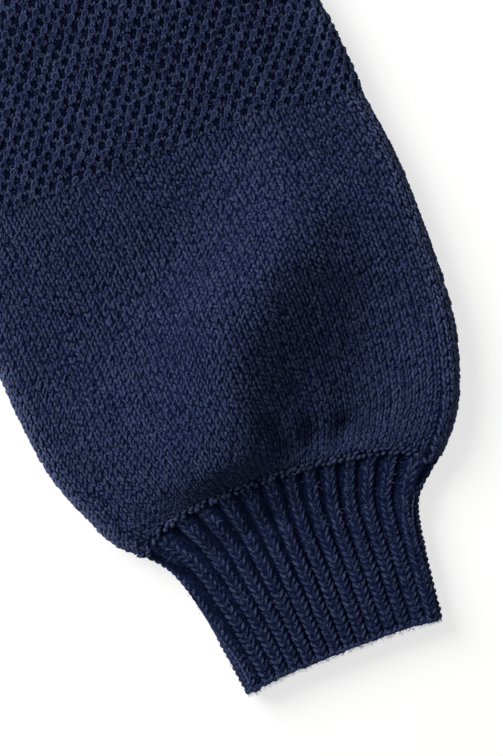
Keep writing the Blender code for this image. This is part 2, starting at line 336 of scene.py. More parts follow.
def grains(sheet, start, end, sag, lift, radius, sides, rings, squash=1.0, bow=0.0):
    # Short lengths of yarn shaped like grains of rice. The middle line of each goes
    # straight from start to end on the sheet, in its units, with a sideways bow. Its
    # height is the two sags blended plus lift * sin(pi t), and its radius swells from
    # the ends as sin(pi t) to a low power.
    count = len(start)
    sag = np.broadcast_to(sag, (count, 2))
    lift, radius, bow = (np.broadcast_to(value, count)[:, None] for value in (lift, radius, bow))
    t = np.linspace(0, 1, rings + 2)[1:-1]
    t = 0.5 - 0.5 * np.cos(pi * (t * 0.86 + 0.07))  # rings stand closer near the ends
    wave = np.sin(pi * t)
    phi = np.arange(sides) / sides * 2 * pi + pi / 2
    run = end - start
    scale = sheet.scaleAt((start + end) / 2)
    metres = run * scale
    sideways = metres[:, ::-1] * [-1, 1] / np.linalg.norm(metres, axis=1, keepdims=True) / scale
    middle = start[:, None] + run[:, None] * t[:, None] + (sideways * bow)[:, None] * wave[:, None]
    size = (radius * wave**0.3)[..., None]
    place = middle[:, :, None] + sideways[:, None, None] * (size * np.cos(phi))[..., None]
    rise = sag[:, 0:1] * (1 - t) + sag[:, 1:2] * t + lift * wave
    sleeves = sheet.at(place, rise[..., None] + size * np.sin(phi) * squash)
    tips = sheet.at(np.stack([start, end], 1), sag)
    points = np.concatenate([sleeves.reshape(count, -1, 3), tips], axis=1)
    # ring numbers past the last stand for the two tips
    t = np.append(t, [0.0, 1.0])
    k = np.arange(sides)
    r, c = everyPair(np.arange(rings - 1), k)
    spots = [(pair(r, r + 1, r + 1, r), pair(c, c, c + 1, c + 1)),
             (np.repeat([[rings, 0, 0], [rings + 1, rings - 1, rings - 1]], sides, axis=0),
              np.concatenate([pair(k, k, k + 1), pair(k, k + 1, k)]))]
    corners = [np.where(r < rings, r * sides + k % sides, rings * sides + r - rings) for r, k in spots]
    return repeatFaces(points, corners, [pair(t[r], k / sides) for r, k in spots])


def loops(sheet, centre, radii, thick, tilt, height, around, sides):
    # Small closed loops of yarn: an ellipse round centre with a round section of radius
    # thick, tipped across and along by the first two tilts and turned by the third.
    theta = (np.arange(around) / around * 2 * pi)[:, None]
    phi = np.arange(sides) / sides * 2 * pi + pi / 2
    long, wide, thick, tipX, tipY, turn, height = (
        value[:, None, None] for value in (*radii.T, thick, *tilt.T, height))
    nx, ny = np.cos(theta) / wide, np.sin(theta) / long
    norm = np.hypot(nx, ny)
    x = wide * np.cos(theta) + thick * (nx / norm) * np.cos(phi)
    y = long * np.sin(theta) + thick * (ny / norm) * np.cos(phi)
    z = thick * np.sin(phi) + tipX * x + tipY * y
    offset = pair(x * np.sin(turn) + y * np.cos(turn), x * np.cos(turn) - y * np.sin(turn))
    place = centre[:, None, None] + offset / sheet.scaleAt(centre)[:, None, None]
    points = sheet.at(place, z + height).reshape(len(centre), -1, 3)
    r, k = everyPair(np.arange(around), np.arange(sides))
    r, k = pair(r, r, r + 1, r + 1), pair(k, k + 1, k + 1, k)
    return repeatFaces(points, [r % around * sides + k % sides], [pair(r / around * 3, k / sides)])


def legPairs(courses, wales):
    # two legs for every stitch: their course, their wale and their hand, left then right
    c, w = (np.repeat(g, 2) for g in everyPair(courses, wales))
    return c, w, np.tile([-1.0, 1.0], len(c) // 2)


def addStrands(name, kinds, tone, material, slot):
    # several kinds of strand as one mesh, with one tone for each strand
    points, faces, yarn, each, first = [], [], [], [], 0
    for some, corners, places in kinds:
        points.append(some.reshape(-1, 3))
        faces += [c + first for c in corners]
        yarn += places
        each.append(np.full(some.shape[0], some.shape[1]))
        first += len(points[-1])
    tone = np.repeat(tone, np.concatenate(each))
    return addPiece(name, np.concatenate(points), faces, yarn, {"tone": tone}, material, slot)


def fuzz(sheet, count, alongs, acrosses, high, spread, radius=0.00006):
    # Stray fibres: thin hairs that start in the yarn at a random place, run a few
    # millimetres any way over it and rise a little on the way.
    low, size = pair(alongs, acrosses)[0], np.ptp(pair(alongs, acrosses), axis=0)
    start = low + draw.random((count, 2)) * size
    turn = draw.random(count) * 2 * pi
    length = spread * (0.5 + draw.random(count))
    run = pair(np.cos(turn), np.sin(turn)) * length[:, None] / sheet.scaleAt(start)
    rise = pair(high, high + 0.0009 * draw.random(count) ** 2)
    radius = radius * (1 + draw.random(count))
    lift = 0.0002 * draw.normal(0, 1, count)
    return grains(sheet, start, start + run, rise, lift, radius, sides=3, rings=2,
                  bow=0.0004 * draw.normal(0, 1, count))


# wool: its colours and its finish
wool = {
    # crest is a painted highlight along the top of each strand
    "plain": dict(deep=(0.0044, 0.0100, 0.0490), lit=(0.0345, 0.0455, 0.1060), crestHighlight=0.60, plyDepth=0.10),
    "tuck": dict(deep=(0.0030, 0.0082, 0.0430), lit=(0.0310, 0.0415, 0.0980), crestHighlight=0.50, plyDepth=0.16),
    "rib": dict(deep=(0.0022, 0.0060, 0.0300), lit=(0.0310, 0.0405, 0.0930), crestHighlight=0.65, plyDepth=0.22),
    # loose hairs, whose pale lit colour is painted light on the fuzz, and cloth without strands
    "nap": dict(deep=(0.0310, 0.0405, 0.0930), lit=(0.2100, 0.2500, 0.4800), crestHighlight=0.65, plyDepth=0.22),
    "bare": dict(deep=(0.0046, 0.0088, 0.0370), lit=(0.0300, 0.0392, 0.0860)),
    "bump": 0.00012,
    "sheen": 0.20,
    "sheenTint": (0.35, 0.48, 1.0, 1.0),
    "fibreNoise": (1.0, 3.0),  # scale and detail
    "speckNoise": (1400.0, 2.0),
    "slowNoise": (470.0, 2.0),
    "weights": (2.0, 2.6, 1.8),  # how much each of the three swings the tone
}


def newGroup(name, inputs, outputs):
    # an empty node group with named sockets: its tree and what it is given
    tree = bpy.data.node_groups.new(name, "ShaderNodeTree")
    for way, sockets in (("INPUT", inputs), ("OUTPUT", outputs)):
        for socket, kind in sockets.items():
            tree.interface.new_socket(name=socket, in_out=way, socket_type="NodeSocket" + kind)
    return tree, tree.nodes.new("NodeGroupInput").outputs


def makeYarnGroup():
    # Wool yarn: fibres wound at a slant round the strand. Colour goes from deep to lit with
    # the sum of the tone, three noises, a painted crest highlight and the plies, and has
    # painted shade where that sum is below 0. Height is the fibres' relief.
    tree, given = newGroup("yarnFibres", {
        "Strand": "Vector", "Place": "Vector", "Tone": "Float", "Crest Highlight": "Float", "Plies": "Float",
        "Ply Depth": "Float", "Deep Colour": "Color", "Lit Colour": "Color"},
        {"Colour": "Color", "Height": "Float"})
    do = partial(calc, tree)

    def noise(vector, scaleAndDetail):
        # soft random blotches, about one half
        scale, detail = scaleAndDetail
        values = {"Vector": vector, "Scale": scale, "Detail": detail}
        return addNode(tree, "TexNoise", values).outputs["Fac"]

    twist = addNode(tree, "Mapping", {"Vector": given["Strand"], "Scale": (2.0, 9.0, 1.0),
                                      "Rotation": (0.0, 0.0, 0.5)})
    wound = addNode(tree, "VectorMath", {0: given["Place"], 1: (130.0, 130.0, 130.0),
                                         2: twist.outputs[0]}, operation="MULTIPLY_ADD")
    fibre = noise(wound.outputs[0], wool["fibreNoise"])
    speck = noise(given["Place"], wool["speckNoise"])
    slow = noise(given["Place"], wool["slowNoise"])
    split = addNode(tree, "SeparateXYZ", {0: given["Strand"]}).outputs
    # painted highlight: lighter along the top of each strand
    crestHighlight = do("MULTIPLY_ADD", do("COSINE", do("MULTIPLY", split["Y"], 2 * pi)), 0.5, 0.5)
    crestHighlight = do("POWER", crestHighlight, 6.0)  # 1 along the top of the strand, 0 down its sides
    # the plies show as slanted bands: cos(2 pi (plies * along + around))
    turns = do("MULTIPLY_ADD", split["X"], given["Plies"], split["Y"])
    bands = do("COSINE", do("MULTIPLY", turns, 2 * pi))
    # each noise swings about one half, so their middles are taken off first
    whole = do("ADD", given["Tone"], -0.5 * sum(wool["weights"]))
    weights = (*wool["weights"], given["Crest Highlight"], given["Ply Depth"])
    for part, weight in zip((fibre, speck, slow, crestHighlight, bands), weights):
        whole = do("MULTIPLY_ADD", part, weight, whole)
    blend = addNode(tree, "Mix", {"Factor": do("MAXIMUM", whole, 0.0), "A": given["Deep Colour"],
                                  "B": given["Lit Colour"]}, data_type="RGBA", clamp_factor=False)
    # painted shade: the colour is scaled darker where the sum is below 0
    paintedShadeScale = do("MINIMUM", do("MAXIMUM", do("ADD", whole, 1.0), 0.15), 1.0)
    shade = addNode(tree, "VectorMath", {0: blend.outputs["Result"], "Scale": paintedShadeScale}, operation="SCALE")
    setInputs(tree, tree.nodes.new("NodeGroupOutput"), {
        "Colour": shade.outputs[0], "Height": do("MULTIPLY_ADD", speck, 0.6, fibre)})
    return tree


yarnGroup = makeYarnGroup()


def startWool(name, colours, fibreScale):
    # the finish of all the wool: matt, with a soft blue-grey nap
    material = bpy.data.materials.new(name)
    material.use_nodes = True
    tree = material.node_tree
    place = addNode(tree, "UVMap", uv_map="yarn").outputs[0]
    strand = addNode(tree, "VectorMath", {0: place, "Scale": fibreScale}, operation="SCALE")
    fibres = addNode(tree, "Group", {
        "Strand": strand.outputs[0], "Place": addNode(tree, "TexCoord").outputs["Object"],
        "Deep Colour": (*colours["deep"], 1.0), "Lit Colour": (*colours["lit"], 1.0)},
        node_tree=yarnGroup)
    setInputs(tree, tree.nodes["Principled BSDF"], {
        "Base Color": fibres.outputs["Colour"], "Roughness": 0.88, "Specular IOR Level": 0.04,
        "Sheen Weight": wool["sheen"], "Sheen Roughness": 0.45, "Sheen Tint": wool["sheenTint"]})
    return material, tree, place, fibres


def readMark(tree, name):
    # a number that the mesh holds for each point
    return addNode(tree, "Attribute", attribute_name=name).outputs["Fac"]


def addBump(tree, height):
    # tips the shader's normal by a height, where 1 is the depth of the fibres
    bump = addNode(tree, "Bump", {"Height": height, "Distance": wool["bump"]})
    tree.links.new(bump.outputs[0], tree.nodes["Principled BSDF"].inputs["Normal"])


def makeYarn(name):
    # strands of two-ply wool: a painted highlight along their crests, with a fine bump of fibres
    colours = wool[name]
    material, tree, _, fibres = startWool(name + "Yarn", colours, 1.0)
    setInputs(tree, fibres, {"Tone": readMark(tree, "tone"), "Crest Highlight": colours["crestHighlight"],
                             "Plies": 2.0, "Ply Depth": colours["plyDepth"]})
    addBump(tree, fibres.outputs["Height"])
    return material


plainYarn, tuckYarn, ribYarn, napYarn = (makeYarn(name) for name in ("plain", "tuck", "rib", "nap"))

# knit as a pattern, for cloth that is seen without its separate strands
tuck = {
    "columnStep": 0.00310,
    "rowStep": 0.00378,
    "loop": (0.00150, 0.00122),  # radii along and across
    "lean": 0.62,  # the loops' turn to the right, in radians
    "radius": 0.00062,
    "height": 0.00050,
    "hole": 0.0011,
    "lastRow": 0.0016,  # the last row of loops stands this far above the plain knit
    "stroke": (0.00122, 0.00034),  # half a stroke's length along and across
    "strokeGap": 0.00058,  # half the way between the two strokes of a pair
    "strokeRadius": 0.00062,
    "heart": (0.0015, 0.00100),  # half length and radius of the grain inside a loop
    "tones": (0.44, 0.66, 0.46),  # of loops, strokes and those grains
    # painted highlight on the loops at the folds
    "rimHighlight": 1.6,  # added where the cloth turns down at the folds
    "grid": (0.0010, 0.125),  # step of its measuring grid, and how far that goes to each side
    "hairs": 1000,
}
patterns = {
    "wale": 0.00375,
    "course": 0.00266,
    "relief": 0.00075,  # how deep the stitches are on cloth without strands
    # painted shade: the gaps are painted darker than the stitches' tops, and the whole knit darker by its
    # relief
    "contrast": 1.10,  # how much lighter the tops of its stitches are than the gaps
    "gap": 0.92,
    "tone": 0.62,
    "fibreScale": 300.0,  # fibres for each metre of the knit's own map
    "ribFibreScale": 1.5,  # the same where the map is in columns and courses
}


def startFace(name):
    # a pattern group: Place in stitches or metres in, Height from 0 to 1 out
    tree, given = newGroup(name, {"Place": "Vector"}, {"Height": "Float"})
    split = addNode(tree, "SeparateXYZ", {0: given["Place"]}).outputs
    return tree, partial(calc, tree), split["X"], split["Y"]


def endFace(tree, height):
    # the pattern's last step: its height goes out
    setInputs(tree, tree.nodes.new("NodeGroupOutput"), {"Height": height})
    return tree


def dome(do, x, y):
    # half an ellipsoid: sqrt(1 - x^2 - y^2), and 0 outside it
    square = do("MULTIPLY_ADD", x, x, do("MULTIPLY", y, y))
    return do("SQRT", do("MAXIMUM", do("SUBTRACT", 1.0, square), 0.0))


def makePlainFace():
    # Plain knit: upright legs half a wale wide, each column half a course off the next
    # and leaning the other way. Place is (across, along) in metres.
    tree, do, across, along = startFace("plainFace")
    legs = do("DIVIDE", across, patterns["wale"] / 2)
    column = do("FLOOR", legs)
    x = do("SUBTRACT", do("SUBTRACT", legs, column), 0.5)
    odd = do("MULTIPLY", do("FRACT", do("MULTIPLY", column, 0.5)), 2.0)
    hand = do("MULTIPLY_ADD", odd, 2.0, -1.0)
    course = do("MULTIPLY_ADD", odd, 0.5, do("DIVIDE", along, patterns["course"]))
    slant = do("MULTIPLY", do("MULTIPLY", hand, x), 0.7)
    y = do("SUBTRACT", do("FRACT", do("ADD", course, slant)), 0.5)
    return endFace(tree, dome(do, do("MULTIPLY", x, 1.85), do("MULTIPLY", y, 1.7)))


def makeTuckFace():
    # Textured knit: slanted loops on two grids, one in the gaps of the other, short
    # upright strokes between them, and a round hole at every place with no loop.
    tree, do, across, along = startFace("tuckFace")
    turnX, turnY = np.cos(tuck["lean"]), np.sin(tuck["lean"])
    long, wide = tuck["loop"]

    def fromPlace(rowShift, columnShift):
        # metres from the nearest place of one grid: y down the cloth, x across it
        for value, step, shift in ((along, tuck["rowStep"], rowShift),
                                   (across, tuck["columnStep"], columnShift)):
            half = do("MULTIPLY_ADD", value, 0.5 / step, -0.5 * shift)
            off = do("SUBTRACT", half, do("ROUND", half))
            yield do("MULTIPLY", off, 2 * step)

    def distance(x, y):
        # sqrt(x^2 + y^2)
        return do("SQRT", do("MULTIPLY_ADD", x, x, do("MULTIPLY", y, y)))

    wave = do("COSINE", do("MULTIPLY", across, 4 * pi / tuck["columnStep"]))
    height = do("MULTIPLY_ADD", wave, -0.16, 0.60)
    for places in ((0.0, 1.0), (1.0, 0.0)):
        y, x = fromPlace(*places)
        gone = do("MULTIPLY_ADD", distance(x, y), 1 / tuck["hole"], -0.45)
        height = do("MULTIPLY", height, do("MINIMUM", do("MAXIMUM", gone, 0.0), 1.0))
    for places in ((0.0, 0.0), (1.0, 1.0)):
        y, x = fromPlace(*places)
        xr = do("MULTIPLY_ADD", x, turnX / wide, do("MULTIPLY", y, turnY / wide))
        yr = do("MULTIPLY_ADD", y, turnX / long, do("MULTIPLY", x, -turnY / long))
        off = do("SUBTRACT", distance(xr, yr), 1.0)
        off = do("MULTIPLY", off, 0.4 * (long + wide) / tuck["radius"])
        height = do("MAXIMUM", height, dome(do, off, 0.0))
    return endFace(tree, height)


def makeRibFace():
    # Rib: V shaped pairs of legs on each column, and a low furrow between columns.
    # Place is (columns, courses).
    tree, do, column, course = startFace("ribFace")
    x = do("ABSOLUTE", do("SUBTRACT", do("FRACT", column), 0.5))
    phase = do("FRACT", do("MULTIPLY_ADD", x, 1.5, course))
    legs = dome(do, do("MULTIPLY", do("SUBTRACT", phase, 0.5), 1.8), 0.0)
    column = dome(do, do("MULTIPLY", x, 2.6), 0.0)
    return endFace(tree, do("MULTIPLY", do("MULTIPLY_ADD", legs, 0.6, 0.4), column))


def makeFace(name, colours, groups, fibreScale):
    # Cloth seen without its separate strands. The knit's height paints shade into the gaps
    # and bumps the surface as far as the mark "relief" says; the mark "kind" blends from the
    # first pattern, at 0, to the second, at 1.
    material, tree, place, fibres = startWool(name, colours, fibreScale)
    do = partial(calc, tree)
    heights = [addNode(tree, "Group", {"Place": place}, node_tree=group).outputs["Height"]
               for group in groups]
    height = heights[0]
    if len(heights) > 1:
        height = do("MULTIPLY_ADD", do("SUBTRACT", heights[1], height), readMark(tree, "kind"), height)
    relief = readMark(tree, "relief")
    height = do("MULTIPLY", height, relief)
    swing = do("MULTIPLY_ADD", relief, -patterns["gap"], do("MULTIPLY", height, patterns["contrast"]))
    setInputs(tree, fibres, {"Tone": do("ADD", swing, readMark(tree, "tone"))})
    addBump(tree, do("MULTIPLY_ADD", height, patterns["relief"] / wool["bump"], fibres.outputs["Height"]))
    return material


plainFace, tuckFace, ribFace = makePlainFace(), makeTuckFace(), makeRibFace()
sleeveKnit = makeFace("sleeveKnit", wool["bare"], [plainFace, tuckFace], patterns["fibreScale"])
bodyKnit = makeFace("bodyKnit", wool["bare"], [tuckFace], patterns["fibreScale"])
ribKnit = makeFace("ribKnit", wool["rib"], [ribFace], patterns["ribFibreScale"])
print("wool made")

# the left sleeve; each row is a section of it or of its cuff: outer fold x y, inner
# fold x y, fold radius, height, bow
seamRing = (0.6261, -0.2023, 0.4963, -0.2443, 0.0075, 0.0180, 0.0150)
sleeveRings = (
    (0.290, 0.270, 0.310, 0.060, 0.00335, 0.0067, 0.0),
    (0.3600, 0.2330, 0.3270, 0.0240, 0.0060, 0.0170, 0.0),
    (0.4360, 0.1750, 0.3480, -0.0110, 0.0080, 0.0240, 0.0),
    (0.5110, 0.0920, 0.3730, -0.0500, 0.0090, 0.0300, 0.0),
    (0.5740, -0.0110, 0.4020, -0.0950, 0.0095, 0.0330, 0.0),
    (0.5925, -0.0490, 0.4165, -0.1225, 0.0095, 0.0335, 0.0),
    (0.6100, -0.0830, 0.4310, -0.1520, 0.0095, 0.0340, 0.0),
    (0.6294, -0.1372, 0.4572, -0.2065, 0.0095, 0.0335, 0.0040),
    (0.6336, -0.1687, 0.4786, -0.2321, 0.0090, 0.0290, 0.0090),
    (0.6315, -0.1876, 0.4865, -0.2395, 0.0085, 0.0229, 0.0120),
    seamRing,
)
cuffRings = (
    seamRing,
    (0.6200, -0.2124, 0.5066, -0.2491, 0.0072, 0.0160, 0.0112),
    (0.6169, -0.2231, 0.5149, -0.2566, 0.0070, 0.0150, 0.0078),
    (0.6200, -0.2419, 0.5283, -0.2777, 0.0070, 0.0145, 0.0035),
    (0.6268, -0.2698, 0.5422, -0.3028, 0.0068, 0.0140, 0.0020),
)
sleeve = {
    "cut": (0.440, 0.520),  # one piece: round the widest part, and shoulder to cuff seam
    "cutArea": 0.186,
    "wall": 0.0014,  # cloth under the yarn
    "yarnDepth": 0.0009,  # from the cloth's skin out to the tops of the stitches
    "under": 0.0003,  # the plain cloth lies this much deeper than the stitches' feet
    "creases": (  # width, height, line
        (0.0119, 0.0101, ((0.5651, -0.1007), (0.5271, -0.1432))),
        (0.0159, 0.0130, ((0.5590, -0.1226), (0.5320, -0.1624))),
        (0.0212, -0.0107, ((0.6154, -0.1494), (0.5767, -0.1832))),
        (0.0194, -0.0120, ((0.4710, -0.0378), (0.5255, -0.0748))),
        (0.0290, -0.0155, ((0.5320, -0.1306), (0.4824, -0.1532))),
        (0.0155, 0.0072, ((0.5453, -0.1492), (0.5334, -0.2057))),
        (0.0068, 0.0059, ((0.6116, -0.0603), (0.6362, -0.1266))),
        (0.0112, -0.0033, ((0.5925, -0.1361), (0.5933, -0.1923))),
        (0.0349, 0.0150, ((0.4283, -0.0463), (0.4991, 0.0046))),
        (0.0132, 0.0043, ((0.5300, -0.1946), (0.5674, -0.1944))),
        (0.0149, -0.0053, ((0.5839, -0.0408), (0.6024, -0.0873))),
        (0.0118, -0.0061, ((0.5606, -0.1094), (0.5715, -0.0848))),
        (0.0024, -0.0032, ((0.5792, -0.201), (0.5850, -0.188))),
        (0.0022, -0.0040, ((0.6205, -0.1988), (0.5890, -0.1985))),
        (0.0034, -0.0052, ((0.5665, -0.206), (0.5540, -0.190))),
        (0.0028, -0.0048, ((0.5712, -0.203), (0.5690, -0.190))),
    ),
    "axis": (0.375, -0.927),  # down the sleeve
    "near": 0.115,  # strands are modelled from here down that axis
    "plainFrom": 0.2600,  # where the textured knit ends
    "plainDroop": 0.0065,  # the change comes this much later at the outer fold
    "hairTone": (0.9, 0.3),  # middle and spread
}
plain = {
    "wales": 58,
    "courses": 63,
    "radius": 0.00066,
    "lift": 0.00030,
    "lean": 0.30,  # how far a leg leans, in wales
    "reach": 0.62,  # half a leg's length, in courses
    "sag": (-0.00022, -0.00044),  # heights of a leg's two ends
    "bow": 0.00020,
    "wander": 0.08,  # how far the columns stray from straight, in wales
    "tone": (0.33, 0.15),  # middle and spread
    # painted highlight on the legs at the folds
    "rimHighlight": 1.8,  # added where the cloth turns down at the folds
    "reachAcross": 27.0,  # loose hairs are laid this far to each side, in wales
    "hairs": 2000,
}

# the outer skin from under one fold over the top to under the other
skinV, skinM = np.linspace(0, len(sleeveRings) - 1, 420), np.linspace(-1.22, 1.22, 261)
sleeveSkin = tubeSkin(sleeveRings, skinV[:, None], 0.25 - skinM / 4, sleeve["yarnDepth"],
                      sleeve["creases"])
axis = np.array([*sleeve["axis"], 0.0])
axis /= np.linalg.norm(axis)
side = np.array([-axis[1], axis[0], 0.0])
down = sleeveSkin @ axis  # how far down the sleeve each point is
over = sleeveSkin @ side


def droop(m):
    # how much later the plain knit starts: more and more towards the outer fold
    return sleeve["plainDroop"] * smooth((m - 0.35) / 0.65)


def rimHighlightShare(m):
    # where the painted highlight goes: 1 at the folds, 0 from a little inside them
    return smooth((np.abs(m) - 0.84) / 0.16)


def makePlainSheet():
    # The plain knit's own grid: courses run from the change of stitch to the seam,
    # wales are even shares of the way round from fold to fold.
    columns = []
    rows = np.linspace(0, 1, 4 * plain["courses"] + 1)
    for j, m in enumerate(skinM):
        first = np.interp(sleeve["plainFrom"] + droop(m), down[:, j], skinV)
        dense = np.linspace(first, skinV[-1], 200)
        length = lengthAlong(readLine(dense, skinV, sleeveSkin[:, j]))
        at = np.interp(rows * length[-1], length, dense)
        columns.append(readLine(at, skinV, sleeveSkin[:, j]))
    wale = skinM * plain["wales"] / 2
    return Sheet(np.stack(columns, 1), (0.0, wale[0]), (0.25, wale[1] - wale[0]))


def makeTuckSheet():
    # The textured knit's own grid, square to the sleeve: along is metres down the
    # sleeve, across is metres round the section from its middle line. The share says
    # how far round from fold to fold each place is, and 9 where there is no cloth.
    step, half = tuck["grid"]
    alongs = np.arange(0.0, sleeve["plainFrom"] + sleeve["plainDroop"] + 3 * step, step)
    acrosses = np.arange(-half, half + step / 10, step)
    grid = np.stack([readLine(alongs, down[:, j], sleeveSkin[:, j]) for j in range(len(skinM))], 1)
    inside = (alongs[:, None] >= down[0]) & (alongs[:, None] <= down[-1])
    points = np.zeros((len(alongs), len(acrosses), 3))
    share = np.full(points.shape[:2], 9.0)
    centre = len(skinM) // 2
    middle = np.interp(sleeve["plainFrom"], down[:, centre], over[:, centre])
    for i, ok in enumerate(inside):
        if ok.sum() < 4:
            points[i] = grid[i, 0]
            continue
        line = grid[i, ok]
        length = lengthAlong(line)
        length = length - np.interp(middle, line @ side, length)
        points[i] = readLine(acrosses, length, line)
        share[i] = np.interp(acrosses, length, skinM[ok], left=9, right=9)
    return Sheet(points, (0.0, acrosses[0]), (step, step)), share


def makePlainStitches(sheet):
    # Two grains a stitch, a V that points down the sleeve: each goes from near the
    # wale's middle line out and back up, and its upper end dips under the next V.
    half = plain["wales"] // 2
    c, w, hand = legPairs(np.arange(plain["courses"]) + 0.5, np.arange(-half - 2, half + 2) + 0.5)
    jitter = scatter(len(c), 8)
    wander = plain["wander"] * np.sin(c * 0.23 + w * 0.41) * np.sin(c * 0.11 - w * 0.27 + 1.0)
    c = c + np.where(hand > 0, 0.5, 0.0) + 0.14 * jitter[0]
    middle = w + wander + hand * 0.25 + 0.036 * jitter[1]
    lean = hand * plain["lean"] * 0.5 * (1 + 0.45 * jitter[3])
    start = pair(c + plain["reach"] + 0.08 * jitter[2], middle - lean)
    end = pair(c - plain["reach"] + 0.08 * jitter[4], middle + lean)
    sag = plain["sag"] + np.array([0.00015, 0.00012]) * jitter[5][:, None]
    lift = plain["lift"] * (1 + 0.25 * jitter[6])
    radius = plain["radius"] * (1 + 0.16 * jitter[7])
    tone = plain["tone"][0] + plain["tone"][1] * draw.normal(0, 1, len(c))
    # painted highlight: legs at the folds are lighter
    tone = np.clip(tone + plain["rimHighlight"] * rimHighlightShare(w / half), 0.0, 2.0)
    legs = grains(sheet, start, end, sag, lift, radius, sides=4, rings=3, squash=0.9,
                  bow=hand * plain["bow"])
    return addStrands("sleeveLeftPlain", [legs], tone, plainYarn, "knit")


def makeTuckLoops(sheet, share):
    # A loop at every second place of a grid, so that each row stands between the gaps
    # of the rows beside it. Each loop has a short grain in its middle and two short
    # upright strokes on each side below it.
    low, high = sleeve["near"], sleeve["plainFrom"]
    step = np.array([tuck["rowStep"], tuck["columnStep"]])
    rows = np.arange(int(low / step[0]), int(high / step[0]) + 1)
    r, c = everyPair(rows, np.arange(-40, 41))
    keep = (r + c) % 2 == 0
    r, c = r[keep], c[keep]
    along = high - tuck["lastRow"] - (rows[-1] - r) * step[0]
    across = c * step[1]
    spot = ((pair(along, across) - sheet.first) / sheet.step).round().astype(int)
    m = share[tuple(np.clip(spot, 0, np.array(share.shape) - 1).T)]
    along = along + droop(m)
    keep = (np.abs(m) < 1.12) & (along > low) & (along <= high + 0.007)
    along, across, m = along[keep], across[keep], m[keep]
    count = len(along)
    jitter = scatter(count, 8)
    centre = pair(along + 0.00026 * jitter[0], across + 0.00022 * jitter[1])
    radii = np.array(tuck["loop"]) * (1 + 0.10 * jitter[2:4].T)
    thick = tuck["radius"] * (1 + 0.12 * jitter[4])
    tilt = pair(0.15 * jitter[5], -0.14 + 0.13 * jitter[6], tuck["lean"] + 0.20 * jitter[7])
    height = tuck["height"] + 0.00014 * draw.normal(0, 1, count)
    loopTone, strokeTone, heartTone = tuck["tones"]
    # painted highlight: loops at the folds are lighter
    tone = loopTone + 0.16 * draw.normal(0, 1, count) + tuck["rimHighlight"] * rimHighlightShare(m)
    made = loops(sheet, centre, radii, thick, tilt, height, around=8, sides=4)
    hand = np.tile([-1.0, -1.0, 1.0, 1.0], count)
    twin = np.tile([-1.0, 1.0, -1.0, 1.0], count)
    jitter = scatter(4 * count, 5)
    middle = np.repeat(centre, 4, axis=0) + step * pair(0.5, 0.5 * hand)
    middle = middle + pair(0.00020 * jitter[0], tuck["strokeGap"] * twin + 0.00010 * jitter[1])
    long, wide = tuck["stroke"]
    reach = pair(long + 0.00012 * jitter[2], wide * hand + 0.00016 * jitter[3])
    radius = tuck["strokeRadius"] * (1 + 0.15 * jitter[4])
    strokes = grains(sheet, middle - reach, middle + reach, -0.0002, 0.0007, radius, sides=4, rings=2,
                     squash=0.85)
    long, radius = tuck["heart"]
    reach = pair(np.cos(tilt[:, 2]), -np.sin(tilt[:, 2])) * long
    hearts = grains(sheet, centre - reach, centre + reach, -0.0003, 0.0004, radius, sides=4, rings=2,
                    squash=0.85)
    under = np.repeat([strokeTone, heartTone], [4 * count, count])
    under = np.clip(under + 0.20 * draw.normal(0, 1, 5 * count), -0.4, 1.4)
    lower = addStrands("sleeveLeftTuckUnder", [strokes, hearts], under, tuckYarn, "knit")
    return addStrands("sleeveLeftTuck", [made], np.clip(tone, 0.0, 2.0), tuckYarn, "knit"), lower


def closeGrids(rows, columns, across, along, flip, ring):
    # The faces of a closed wall between two grids of points, outer then inner: both
    # skins and a strip along each free edge. A ring's last column joins its first;
    # across and along then have one column more than the grids, for the last join.
    last = columns if ring else columns - 1
    faces, places = [], []

    def addFaces(r, k, skin):
        # four-sided faces from the row, the column and the skin of each corner
        r, k, skin = np.broadcast_arrays(r, k, skin)
        faces.append(skin * rows * columns + r * columns + k % columns)
        places.append(pair(across[r, k], along[r, k]))

    first, second = np.array([0, 0, 1, 1]), np.array([0, 1, 1, 0])
    r, k = (g[:, None] for g in everyPair(np.arange(rows - 1), np.arange(last)))
    addFaces(r + first, k + second, 0)
    addFaces(r + second, k + first, 1)
    k = np.arange(last)[:, None] + first
    addFaces(0, k, second)
    addFaces(rows - 1, k[:, ::-1], second)
    if not ring:
        r = np.arange(rows - 1)[:, None] + first
        addFaces(r[:, ::-1], 0, second)
        addFaces(r, columns - 1, second)
    faces, places = np.concatenate(faces), np.concatenate(places)
    return (faces[:, ::-1], places[:, ::-1]) if flip else (faces, places)


def columnArch(column):
    # height of a knit column over its furrows, from 0 to 1: a round arch
    x = (column - np.floor(column) - 0.5) / 0.44
    return np.sqrt(np.clip(1 - x**2, 0, 1))


